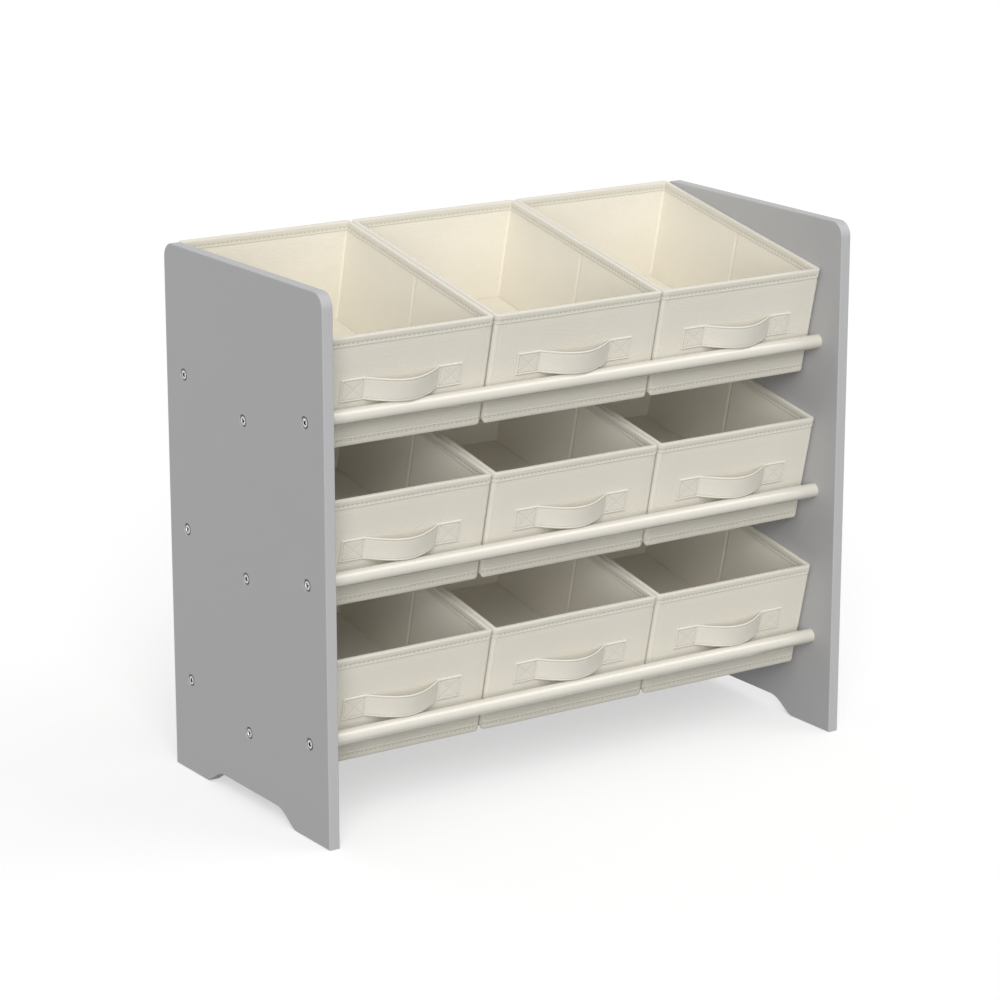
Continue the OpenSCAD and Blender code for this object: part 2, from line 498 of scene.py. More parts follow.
def add_piece(bm: BMesh, name: str, material: Material, body: str, slot: str,
              stands_for: Iterable[str] = (), crease: float = math.radians(38)) -> bpy.types.Object:
    """Makes a finished piece of a mesh that is in place, and lets it ride on its body.

    Args:
        bm: The mesh, which is used up.
        name: The piece's name.
        material: Its finish.
        body: The body that it rides on.
        slot: Name of the material slot for its finish; not used.
        stands_for: CAD nodes that it replaces.
        crease: Angle above which an edge stays sharp.

    Returns:
        The piece.
    """
    bmesh.ops.recalc_face_normals(bm, faces=bm.faces)
    mesh = as_mesh(name, bm)
    mesh.materials.append(material)
    mesh.polygons.foreach_set("use_smooth", [True] * len(mesh.polygons))
    mesh.set_sharp_from_angle(angle=crease)
    piece = linked(name, mesh)
    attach(piece, body)
    if stands_for:
        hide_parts(*stands_for)
    log.info("%s: %d faces on %s", name, len(mesh.polygons), body)
    return piece


def dress(node: str, material: Material) -> None:
    """Gives a CAD node that stays in view its finish."""
    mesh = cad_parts[node].data
    mesh.materials.clear()
    mesh.materials.append(material)
    log.info("%s: CAD node, %s", node, material.name)


def middle_of(node: str) -> Vector:
    """Gives the middle of a CAD node's box."""
    low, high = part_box(node)
    return (low + high) / 2


def cut_away(bm: BMesh, cutter: BMesh) -> BMesh:
    """Takes one closed shape out of another.

    Args:
        bm: The shape that is cut, which is used up.
        cutter: The shape that is taken out, which is used up.

    Returns:
        What is left.
    """
    holders = []
    for shape in (bm, cutter):
        bmesh.ops.recalc_face_normals(shape, faces=shape.faces)
        holders.append(linked("cut", as_mesh("cut", shape)))
    blank, tool = holders
    cut = blank.modifiers.new("cut", "BOOLEAN")
    cut.operation, cut.solver, cut.use_self, cut.object = "DIFFERENCE", "EXACT", True, tool
    left = bmesh.new()
    left.from_mesh(blank.evaluated_get(bpy.context.evaluated_depsgraph_get()).to_mesh())
    for holder in holders:
        bpy.data.objects.remove(holder)
    return left


def box_shape(low: Vector, high: Vector) -> BMesh:
    """Makes a box between two corners."""
    bm = bmesh.new()
    bmesh.ops.create_cube(bm, size=1.0)
    bmesh.ops.scale(bm, vec=high - low, verts=bm.verts)
    bmesh.ops.translate(bm, vec=(low + high) / 2, verts=bm.verts)
    return bm


def round_off(bm: BMesh, edges: list[bmesh.types.BMEdge], radius: float, steps: int = 3) -> None:
    """Rounds edges off."""
    bmesh.ops.bevel(bm, geom=edges, offset=radius, affect="EDGES", segments=steps, profile=0.5, material=-1)


def lay_weave(bm: BMesh, origin: Vector = Vector()) -> None:
    """Turns a bin's faces outward and maps cloth flat on each, in metres from an origin."""
    bmesh.ops.recalc_face_normals(bm, faces=bm.faces)
    layer = bm.loops.layers.uv.new(WEAVE_MAP)
    for face in bm.faces:
        slant = [abs(part) for part in face.normal]
        flat = slant.index(max(slant))
        first, second = ((1, 2), (0, 2), (0, 1))[flat]
        for loop in face.loops:
            place = loop.vert.co - origin
            loop[layer].uv = (place[first], place[second])


def move_all(bm: BMesh, shift: Callable[[Vector], Vector]) -> None:
    """Moves each vertex by what a function says for its place."""
    for vert in bm.verts:
        vert.co += shift(vert.co)


def spun(bm: BMesh, geom: list[Any], centre: Vector, steps: int, angle: float = 0.0,
         shift: Vector = Vector()) -> list[Any]:
    """Carries a section on by a whole angle, or by a shift at each step, and gives it as it ends up."""
    made = bmesh.ops.spin(bm, geom=geom, cent=centre, axis=UP, dvec=shift, angle=angle, steps=steps)
    return made["geom_last"]


@dataclass(frozen=True)
class Stitch:
    """One stitch of thread, as it shows on the cloth."""

    length: float
    width: float
    height: float
    sides: int = 6
    rings: int = 4

    def lay(self, bm: BMesh, point: Vector, along: Vector, outward: Vector) -> None:
        """Adds the stitch to a mesh.

        Args:
            bm: The mesh.
            point: The stitch's middle.
            along: Direction of the thread.
            outward: Direction out of the cloth.
        """
        run = along.normalized()
        side = outward.cross(run).normalized()
        axes = (side * self.width / 2, outward.normalized() * self.height / 2, run * self.length / 2)
        turned = Matrix.Translation(point) @ Matrix(axes).transposed().to_4x4()
        bmesh.ops.create_uvsphere(bm, u_segments=self.sides, v_segments=self.rings, radius=1.0, matrix=turned)


@dataclass(frozen=True)
class Rim:
    """The outline of a bin seen from above: a rectangle with rounded corners, from y 0 back, around x 0."""

    width: float
    depth: float
    corner: float
    turn_steps: int = 10

    def legs(self) -> list[tuple[Vector, float, Vector]]:
        """Gives each straight leg's direction and length and the centre of the turn after it."""
        x, near, far = self.width / 2 - self.corner, self.corner, self.depth - self.corner
        wide, deep = self.width - 2 * self.corner, self.depth - 2 * self.corner
        return [
            (Vector((1, 0, 0)), wide, Vector((x, near, 0))),
            (Vector((0, 1, 0)), deep, Vector((x, far, 0))),
            (Vector((-1, 0, 0)), wide, Vector((-x, far, 0))),
            (Vector((0, -1, 0)), deep, Vector((-x, near, 0))),
        ]

    def sweep(self, profile: Profile, runs: Callable[[float, bool], list[Run]], closed: bool) -> BMesh:
        """Carries a profile round the whole outline.

        Args:
            profile: Points as (distance out of the wall, height).
            runs: Gives a leg's (length, steps) stretches from its length and whether it is a side wall's.
            closed: Whether the profile's ends are joined.

        Returns:
            The swept mesh.
        """
        bm = bmesh.new()
        start = self.corner - self.width / 2
        verts = [bm.verts.new((start, -out, height)) for out, height in profile]
        pairs = list(zip(verts, verts[1:])) + ([(verts[-1], verts[0])] if closed else [])
        geom: list[Any] = verts + [bm.edges.new(pair) for pair in pairs]
        for index, (direction, length, centre) in enumerate(self.legs()):
            for run, steps in runs(length, index % 2 == 1):
                geom = spun(bm, geom, centre, steps, shift=direction * (run / steps))
            geom = spun(bm, geom, centre, self.turn_steps, angle=math.pi / 2)
        bmesh.ops.remove_doubles(bm, verts=bm.verts, dist=0.02 * MM)
        return bm

    def stations(self, pitch: float) -> Iterable[tuple[Vector, Vector, Vector]]:
        """Walks round the outline, in even steps from the middle of each leg and with one in each turn.

        Args:
            pitch: Length of a step.

        Yields:
            The point, the direction of the walk and the direction out of the wall.
        """
        turn = Matrix.Rotation(math.pi / 4, 3, "Z")
        for direction, length, centre in self.legs():
            out = direction.cross(UP)
            middle = centre + out * self.corner - direction * length / 2
            count = int(length / 2 / pitch)
            for step in range(-count, count + 1):
                yield middle + direction * step * pitch, direction, out
            yield centre + turn @ out * self.corner, turn @ direction, turn @ out


@dataclass(frozen=True)
class Strap:
    """A bin's handle: a folded strap, sewn flat on the front wall at both ends and bowed out between them."""

    low: float
    length: float = 138 * MM
    patch: float = 27 * MM
    height: float = 24 * MM
    thickness: float = 1.6 * MM
    bow: float = 17 * MM
    gap: float = 0.05 * MM
    seam: float = 2.3 * MM
    stitch_pitch: float = 2.6 * MM
    stitch: Stitch = Stitch(1.9 * MM, 0.55 * MM, 0.24 * MM)
    roll: float = 0.1 * MM
    roll_reach: float = 1.1 * MM
    groove: float = 0.2 * MM
    groove_reach: float = 0.75 * MM
    pillow: float = 0.05 * MM
    pillow_reach: tuple[float, float] = (3 * MM, 2.5 * MM)
    box_fade: float = 0.3 * MM
    cross_fade: float = 0.5 * MM
    steps: tuple[int, int] = (220, 44)
    crowd_ends: float = 0.055
    crowd_boxes: float = 0.02
    crowd_edges: float = 0.11

    def bowed(self, across: float) -> float:
        """Gives how far the strap stands off the wall at a place along it."""
        share = (across + self.length / 2 - self.patch) / (self.length - 2 * self.patch)
        return self.bow * math.sin(math.pi * share) if 0 < share < 1 else 0.0

    def box_place(self, across: float, up: float) -> tuple[float, float, float, float]:
        """Gives a point's place in the nearer box, from its outer lower corner, and the box's size."""
        wide, high = self.patch - 2 * self.seam, self.height - 2 * self.seam
        return self.length / 2 - abs(across) - self.seam, up - self.seam, wide, high

    def relief(self, across: float, up: float) -> float:
        """Gives the height of the strap's sewn relief over its plain face.

        Args:
            across: Place along the strap, from its middle.
            up: Place over its lower edge.

        Returns:
            The height, which is negative in the stitched grooves.
        """
        edge = min(up, self.height - up)
        end = self.length / 2 - abs(across)
        rolled = self.roll * bump(edge - self.roll_reach, self.roll_reach)
        groove = bump(edge - self.seam, self.groove_reach)
        x, y, wide, high = self.box_place(across, up)
        if end < self.patch + self.seam:
            inside = smooth(x, -self.box_fade, 0.0) * smooth(wide - x, -self.box_fade, 0.0)
            rolled = max(rolled, self.roll * bump(end - self.roll_reach, self.roll_reach))
            ends = max(bump(x, self.groove_reach), bump(x - wide, self.groove_reach))
            slope = math.hypot(wide, high)
            cross = min(abs(x * high - y * wide), abs((wide - x) * high - y * wide)) / slope
            inner = min(x, wide - x, y, high - y)
            crossed = bump(cross, self.groove_reach) * inside * smooth(inner, -self.cross_fade, 0.0)
            groove = max(groove, ends, crossed)
            if inner > 0:
                off_cross, off_edge = cross / self.pillow_reach[0], inner / self.pillow_reach[1]
                rolled += self.pillow * min(1.0, off_cross) * min(1.0, off_edge)
        return rolled - self.groove * groove

    def face(self, across: float, up: float, share: float = 1.0) -> Vector:
        """Gives a point of the strap in the bin's frame.

        Args:
            across: Place along the strap, from its middle.
            up: Place over its lower edge.
            share: 1 on its face, 0 on its back.

        Returns:
            The point.
        """
        edge = min(up, self.height - up, self.length / 2 - abs(across))
        half = self.thickness / 2
        fold = math.sqrt(max(0.0, 1 - max(0.0, 1 - edge / half) ** 2))
        deep = half + (share - 0.5) * 2 * half * fold + share * self.relief(across, up) * fold
        return Vector((across, -self.gap - self.bowed(across) - deep, self.low + up))

    def cloth(self) -> BMesh:
        """Makes the strap's mesh from a flat grid, thickened and laid along its bow."""
        bm = bmesh.new()
        columns, rows = self.steps
        bmesh.ops.create_grid(bm, x_segments=columns, y_segments=rows, size=0.5)
        thick = bmesh.ops.extrude_face_region(bm, geom=bm.faces[:])
        raised = {part for part in thick["geom"] if isinstance(part, bmesh.types.BMVert)}
        layer = bm.loops.layers.uv.new(WEAVE_MAP)
        for vert in bm.verts:
            x, y = math.tau * vert.co.x, math.tau * vert.co.y
            across = vert.co.x - self.crowd_boxes * math.sin(2 * x) + self.crowd_ends * math.sin(x)
            up = vert.co.y + 0.5 + self.crowd_edges * math.sin(y)
            across = self.length * max(-0.5, min(0.5, across))
            vert.co = self.face(across, self.height * max(0.0, min(1.0, up)), 1.0 if vert in raised else 0.0)
        for face in bm.faces:
            for loop in face.loops:
                loop[layer].uv = (loop.vert.co.x, loop.vert.co.z)
        return bm

    def seams(self) -> list[tuple[tuple[float, float], tuple[float, float]]]:
        """Gives the ends of each straight line of stitches, as places along and up the strap."""
        half, low, high = self.length / 2, self.seam, self.height - self.seam
        lines = [((-half + self.seam, y), (half - self.seam, y)) for y in (low, high)]
        for side in (-1, 1):
            outer, inner = side * (half - self.seam), side * (half - self.patch + self.seam)
            lines += [((outer, low), (outer, high)), ((inner, low), (inner, high))]
            lines += [((outer, low), (inner, high)), ((outer, high), (inner, low))]
        return lines

    def stitches(self) -> BMesh:
        """Makes the stitches along both edges and in the two crossed boxes."""
        bm = bmesh.new()
        for (x0, y0), (x1, y1) in self.seams():
            count = round(math.hypot(x1 - x0, y1 - y0) / self.stitch_pitch)
            for index in range(count):
                shares = ((index + 0.5 + part) / count for part in (-0.25, 0.0, 0.25))
                before, middle, after = (self.face(x0 + (x1 - x0) * s, y0 + (y1 - y0) * s) for s in shares)
                along = after - before
                outward = along.cross(UP) if abs(along.x) > abs(along.z) else Vector((0, -1, 0))
                outward = outward if outward.y < 0 else -outward
                self.stitch.lay(bm, middle, along, outward)
        return bm


@dataclass(frozen=True)
class BinCut:
    """The pattern that all the bins are sewn to, in a bin's frame: X across, Y back from the front, Z up."""

    width: float
    depth: float
    height: float
    strap_low: float
    wall: float = 3.5 * MM
    cloth: float = 0.8 * MM
    corner: float = 4.6 * MM
    soft: float = 1.6 * MM
    levels: int = 26
    step: float = 5 * MM
    fine_step: float = 0.9 * MM
    seam: float = 5.4 * MM
    seam_dip: float = 0.28 * MM
    seam_reach: float = 3.2 * MM
    crease_dip: float = 0.8 * MM
    crease_reach: float = 2.6 * MM
    ridge: float = 0.15 * MM
    ridge_reach: float = math.radians(15)
    fullness: float = 0.45 * MM
    binding: float = 9.0 * MM
    tape: float = 0.6 * MM
    tape_roll: float = 0.25 * MM
    clear: float = 0.03 * MM
    pucker_dip: float = 0.12 * MM
    pucker_reach: float = 1.6 * MM
    seam_drop: float = 6.3 * MM
    hem_drop: float = 2.4 * MM
    hem: float = 9.0 * MM
    hem_full: float = 0.55 * MM
    hem_turn: float = math.radians(58)
    hem_seam_drop: float = 3.1 * MM
    hem_corner: float = 3.5 * MM
    stitch_slant: float = math.radians(24)
    stitch_out: float = 0.3 * MM
    hem_stitch_out: float = 0.25 * MM
    stitch: Stitch = Stitch(4.2 * MM, 1.2 * MM, 0.8 * MM, sides=6, rings=5)

    def rim(self) -> Rim:
        """Gives the outline of the walls."""
        return Rim(self.width, self.depth, self.corner)

    def cloth_runs(self, length: float, side: bool) -> list[Run]:
        """Gives a wall's steps, fine beside its corners and at a side wall's crease."""
        edge = (6 * self.fine_step, 6)
        plain = length - 2 * edge[0]
        if not side:
            return [edge, (plain, round(plain / self.step)), edge]
        fold = (10 * self.fine_step, 10)
        half = (plain - fold[0]) / 2
        panel = (half, round(half / self.step))
        return [edge, panel, fold, panel, edge]

    def crumple(self, place: Vector) -> Vector:
        """Gives how the sewn walls dip at their seams and creases and fill out over their boards.

        Args:
            place: A point of a wall.

        Returns:
            Its shift.
        """
        gaps = (place.x + self.width / 2, self.width / 2 - place.x, place.y, self.depth - place.y)
        outs = (Vector((-1, 0, 0)), Vector((1, 0, 0)), Vector((0, -1, 0)), Vector((0, 1, 0)))
        nearest = min(range(4), key=lambda index: gaps[index])
        out, side = outs[nearest], nearest < 2
        beside = min(gaps[2:]) if side else min(gaps[:2])
        inner = gaps[nearest] > self.wall / 2
        if gaps[nearest] > self.wall + self.cloth:
            return Vector()
        under_tape = self.height - self.binding
        upright = smooth(place.z, 0.0, 10 * MM) * (1 - smooth(place.z, under_tape - 5 * MM, under_tape))
        full = Vector((math.copysign(self.fullness, place.x), 0, 0))
        if beside > self.corner - self.cloth:
            shift = -self.seam_dip * bump(beside - self.seam, self.seam_reach)
            if side:
                shift -= self.crease_dip * bump(place.y - self.depth / 2, self.crease_reach)
                return (out * (-shift if inner else shift) + (Vector() if inner else full)) * upright
            shift += self.seam_dip * smooth(beside, self.seam + 1 * MM, self.seam + 9 * MM)
            return out * (-shift if inner else shift) * upright
        if inner:
            return Vector()
        centre = Vector((math.copysign(self.width / 2 - self.corner, place.x),
                         self.corner if place.y < self.depth / 2 else self.depth - self.corner, place.z))
        radial = (place - centre).normalized()
        angle = math.atan2(abs(radial.y), abs(radial.x))
        ridge = radial * self.ridge * bump(angle - math.pi / 4, self.ridge_reach)
        return (ridge + full * abs(radial.x)) * upright

    def walls(self) -> BMesh:
        """Makes the cloth body: outer walls, lining and bottom, closed all round."""
        levels = [self.height * index / self.levels for index in range(1, self.levels)]
        soft = self.soft
        outer = [(-soft, 0.0), (-0.3 * soft, 0.3 * soft), (0.0, soft)]
        outer += [(0.0, z) for z in levels if z > soft]
        top = [(0.0, self.height), (-self.wall, self.height)]
        inner = [(-self.wall, z) for z in reversed(levels) if z > self.cloth] + [(-self.wall, self.cloth)]
        bm = self.rim().sweep(outer + top + inner, self.cloth_runs, closed=False)
        move_all(bm, self.crumple)
        bmesh.ops.holes_fill(bm, edges=bm.edges, sides=0)
        lay_weave(bm)
        layer = bm.loops.layers.uv[WEAVE_MAP]
        # Lining faces move over on the cloth map, where the cloth's material paints light on them.
        lining = [face for face in bm.faces if self.is_lining(face.calc_center_median())]
        for loop in (loop for face in lining for loop in face.loops):
            loop[layer].uv.x += LINING_SHIFT
        return bm

    def is_lining(self, place: Vector) -> bool:
        """Tells whether a point of the walls or the bottom lies inside the bin."""
        gap = min(self.width / 2 - abs(place.x), place.y, self.depth - place.y)
        return gap > 0.6 * self.wall and place.z > self.cloth / 2

    def tape_profile(self) -> list[tuple[float, float]]:
        """Gives the section of the folded tape: rolled edge, stitched groove and a full fold over the rim."""
        top, full = self.height, self.tape + self.tape_roll
        outside = [(-9.0, 0.2), (-8.9, 0.75), (-8.2, 0.82), (-7.5, 0.62), (-6.7, 0.42), (-5.9, 0.42),
                   (-5.2, 0.62), (-4.4, 0.92), (-3.2, 1.0), (-1.2, 1.0), (-0.2, 0.96), (0.4, 0.6)]
        up = [(share * full, top + z * MM) for z, share in outside]
        crown = [(-share * self.wall, top + z * MM) for share, z in ((0.2, 0.68), (0.5, 0.75), (0.8, 0.68))]
        down = [(-self.wall - out, height) for out, height in reversed(up)]
        near, far, under = self.clear, -self.wall - self.clear, self.height - self.binding
        inside = [(far, under), (far, top + self.clear), (near, top + self.clear), (near, under)]
        return up + crown + down + inside

    def pucker(self, place: Vector) -> Vector:
        """Draws the tape in a little at each stitch."""
        band = bump(place.z - self.height + self.seam_drop, self.pucker_reach)
        along = place.y - self.depth / 2 if abs(place.x) > self.width / 2 - self.corner else place.x
        inward = Vector((place.x * self.depth / self.width, place.y - self.depth / 2, 0)).normalized()
        return inward * (-self.pucker_dip * band * (0.5 + 0.5 * math.cos(math.tau * along / STITCH_PITCH)))

    def binding_tape(self) -> BMesh:
        """Makes the tape that is folded over the rim."""
        def runs(length: float, side: bool) -> list[Run]:
            """Gives the tape three steps to a stitch."""
            return [(length, round(3 * length / STITCH_PITCH))]

        bm = self.rim().sweep(self.tape_profile(), runs, closed=True)
        move_all(bm, self.pucker)
        lay_weave(bm, Vector((0, self.depth / 2, self.height - self.seam_drop)))
        return bm

    def hem_band(self, rear: bool) -> BMesh:
        """Makes the hem along the bottom of the front or rear wall, rounded at its lower corners.

        Args:
            rear: Whether it is the rear wall's.

        Returns:
            The hem's mesh.
        """
        section = [(-0.3, 9.0), (0.35, 9.0), (0.95, 8.6), (0.95, 7.8), (0.55, 7.2), (0.4, 6.3),
                   (0.4, 5.6), (0.6, 4.8), (0.95, 4.2), (1.0, 2.6), (0.9, 1.0), (0.3, 0.2)]
        face = [(out * self.hem_full, height * MM - self.hem_drop) for out, height in section]
        back = [(-1.0 * MM, -self.hem_drop), (-1.9 * MM, 0.7 * MM - self.hem_drop), (-1.9 * MM, 0.4 * MM)]
        turn = self.hem_turn
        direction, length, end = self.rim().legs()[0]
        start = Vector((-end.x, end.y, 0))
        bm = bmesh.new()
        verts = [bm.verts.new((start.x, -out, height)) for out, height in face + back]
        geom: list[Any] = verts + [bm.edges.new(pair) for pair in zip(verts, verts[1:] + verts[:1])]
        bm.faces.new(verts)
        bmesh.ops.rotate(bm, cent=start, matrix=Matrix.Rotation(-turn, 3, "Z"), verts=verts)
        geom = spun(bm, geom, start, 7, angle=turn)
        geom = spun(bm, geom, start, 40, shift=direction * length / 40)
        geom = spun(bm, geom, end, 7, angle=turn)
        bm.faces.new([part for part in geom if isinstance(part, bmesh.types.BMVert)])
        edge = self.width / 2 - self.corner * (1 - math.sin(turn))
        for vert in bm.verts:
            near = edge - abs(vert.co.x)
            if near < self.hem_corner:
                inset = self.hem_corner - max(0.0, near)
                lift = self.hem_corner - math.sqrt(self.hem_corner ** 2 - inset ** 2)
                share = (self.hem - self.hem_drop - vert.co.z) / self.hem
                vert.co.z += lift * max(0.0, share)
        if rear:
            half_turn = Matrix.Rotation(math.pi, 3, "Z")
            bmesh.ops.rotate(bm, cent=(0, self.depth / 2, 0), matrix=half_turn, verts=bm.verts)
        lay_weave(bm, Vector((0, self.depth / 2, self.hem - self.hem_drop - self.hem_seam_drop)))
        return bm

    def stitches(self) -> BMesh:
        """Makes the slanting stitches on both sides of the binding and along both hems."""
        bm = bmesh.new()
        line = self.height - self.seam_drop
        low = self.hem - self.hem_drop - self.hem_seam_drop
        for point, along, out in self.rim().stations(STITCH_PITCH):
            slanted = Matrix.Rotation(self.stitch_slant, 3, out) @ along
            self.stitch.lay(bm, point + out * self.stitch_out + UP * line, -slanted, out)
            if min(abs(abs(point.x) - self.width / 2), point.y, self.depth - point.y) < 0.1 * MM:
                self.stitch.lay(bm, point - out * (self.wall + self.stitch_out) + UP * line, slanted, -out)
            if abs(along.y) < 0.5:
                self.stitch.lay(bm, point + out * self.hem_stitch_out + UP * low, -slanted, out)
        return bm


@dataclass(frozen=True)
class Finishes:
    """The materials of all the pieces."""

    cloth: Material
    tape: Material
    strap: Material
    thread: Material
    fine_thread: Material
    base: Material
    board: Material
    paint: Material
    enamel: Material
    plating: Material
    plastic: Material

    @classmethod
    def mixed(cls) -> "Finishes":
        """Makes all of them."""
        cut = Bin(Tier.UPPER, Column.CENTRE).cut()
        tape = StitchedTape("binding_tape_weave", srgb(214, 210, 198), pitch=1.3 * MM, depth=0.07 * MM)
        return cls(
            cloth=BoundCloth("bin_cloth_weave", tape_edge=cut.height - cut.binding).material(),
            tape=tape.material(),
            strap=Cloth("strap_weave", srgb(215, 211, 200), depth=0.1 * MM).material(),
            thread=Thread("sewing_thread", srgb(217, 213, 201)).material(),
            # Painted shade: the strap's thread is drawn darker than the cloth, standing in for the shade in
            # its stitched grooves.
            fine_thread=Thread("strap_thread", srgb(160, 153, 138)).material(),
            base=Cloth("base_cover_weave", srgb(224, 219, 206)).material(),
            board=Grained("raw_board", srgb(176, 152, 118), 1.5 * MM, 0.85).material(),
            paint=Paint().material(),
            enamel=Enamel().material(),
            plating=Plating(face=SidePanel(Side.RIGHT).face).material(),
            plastic=Grained("plug_plastic_grain", srgb(140, 140, 138), 0.6 * MM, 0.55).material(),
        )


@dataclass(frozen=True)
class Bin:
    """One of the nine bins, placed on its tubes."""

    tier: Tier
    column: Column
    lean: float = math.radians(2.2)
    rest_gap: float = 0.3 * MM
    sway: float = 0.3 * MM
    sway_length: float = 75 * MM
    sway_seed: float = 7.3
    sway_shifts: tuple[Triple, ...] = ((0.0, 0.0, 0.0), (31.7, 0.0, 0.0), (0.0, 53.9, 0.0))
    base_ease: float = 0.9 * MM

    @property
    def body(self) -> str:
        """The bin's name, which is its body's too."""
        return f"{self.tier.value}_{self.column.value}_bin"

    def node(self, part: str) -> str:
        """Gives the name of one of the bin's CAD nodes."""
        return f"{self.body}_{part}"

    def extent(self, part: str, place: Matrix) -> tuple[Vector, Vector]:
        """Gives the lowest and highest corner of a CAD node in some frame.

        Args:
            part: The node's last word.
            place: The frame.

        Returns:
            Both corners.
        """
        back = place.inverted()
        points = [back @ vert.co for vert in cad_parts[self.node(part)].data.vertices]
        low, high = (Vector(pick(point[axis] for point in points) for axis in range(3))
                     for pick in (min, max))
        return low, high

    def place(self) -> Matrix:
        """Works out the bin's frame, with its origin low on the front wall, from the tubes that carry it."""
        centre, rear = (middle_of(tube_node(self.tier, row)) for row in (Row.CENTRE, Row.REAR))
        low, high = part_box(tube_node(self.tier, Row.CENTRE))
        slope = math.atan2(rear.z - centre.z, rear.y - centre.y)
        middle = Vector((middle_of(self.node("handle")).x, centre.y, centre.z))
        lift = (high.z - low.z) / 2 + self.rest_gap
        own = Matrix.Translation(middle) @ Matrix.Rotation(slope, 4, "X") @ Matrix.Translation((0, 0, lift))
        sheared = Matrix.Identity(4)
        sheared[1][1], sheared[1][2] = 1 / math.cos(self.lean), -math.tan(self.lean)
        walls = own @ sheared
        return walls @ Matrix.Translation((0, self.extent("shell", walls)[0].y, 0))

    def cut(self) -> BinCut:
        """Reads the bin's sizes from its CAD nodes."""
        place = self.place()
        low, high = self.extent("shell", place)
        strap_low = self.extent("handle", place)[1].z - Strap.height
        return BinCut(high.x - low.x, high.y - low.y, high.z, strap_low)

    def swayed(self, point: Vector) -> Vector:
        """Gives the slight waviness of this bin's walls, which carries all that is sewn to them along."""
        seed = Vector((list(Tier).index(self.tier), list(Column).index(self.column), 0.5)) * self.sway_seed
        place = point / self.sway_length + seed
        return Vector([noise.noise(place + Vector(shift)) for shift in self.sway_shifts]) * self.sway

    def build(self, patterns: dict[str, bpy.types.Mesh], finishes: Finishes) -> None:
        """Sews the bin's pieces.

        Args:
            patterns: The shared meshes in a bin's frame, by the name of the piece.
            finishes: The materials.
        """
        parts = [
            ("cloth", finishes.cloth, "bin_cloth", ["shell"]),
            ("hems", finishes.tape, "binding_tape", []),
            ("tape", finishes.tape, "binding_tape", ["binding"]),
            ("stitching", finishes.thread, "binding_tape", []),
            ("strap", finishes.strap, "strap_cloth", ["handle"]),
            ("strap_stitching", finishes.fine_thread, "strap_cloth", []),
        ]
        place = self.place()
        for name, material, slot, nodes in parts:
            bm = bmesh.new()
            bm.from_mesh(patterns[name])
            move_all(bm, self.swayed)
            bmesh.ops.transform(bm, matrix=place, verts=bm.verts)
            add_piece(bm, f"{self.body}_{name}", material, self.body, slot, [self.node(n) for n in nodes])
        self.lay_base(place, finishes.base)
        dress(self.node("boards"), finishes.board)

    def lay_base(self, place: Matrix, material: Material) -> None:
        """Makes the cloth-covered board on the bottom, with soft edges."""
        bm = box_shape(*self.extent("base", place))
        round_off(bm, bm.edges[:], self.base_ease)
        lay_weave(bm)
        bmesh.ops.transform(bm, matrix=place, verts=bm.verts)
        add_piece(bm, f"{self.body}_base_board", material, self.body, "base_board", [self.node("base")])


class BinWorks:
    """Makes the shared patterns once and sews all the bins to them."""

    def __init__(self, cut: BinCut) -> None:
        """Makes the patterns' meshes."""
        strap = Strap(cut.strap_low)
        hems = cut.hem_band(False)
        hems.from_mesh(as_mesh("rear_hem", cut.hem_band(True)))
        shapes = {"cloth": cut.walls(), "hems": hems, "tape": cut.binding_tape(), "stitching": cut.stitches(),
                  "strap": strap.cloth(), "strap_stitching": strap.stitches()}
        self.patterns = {name: as_mesh(f"pattern_{name}", bm) for name, bm in shapes.items()}

    def sew(self, finishes: Finishes) -> None:
        """Makes all nine bins."""
        for tier in Tier:
            for column in Column:
                Bin(tier, column).build(self.patterns, finishes)


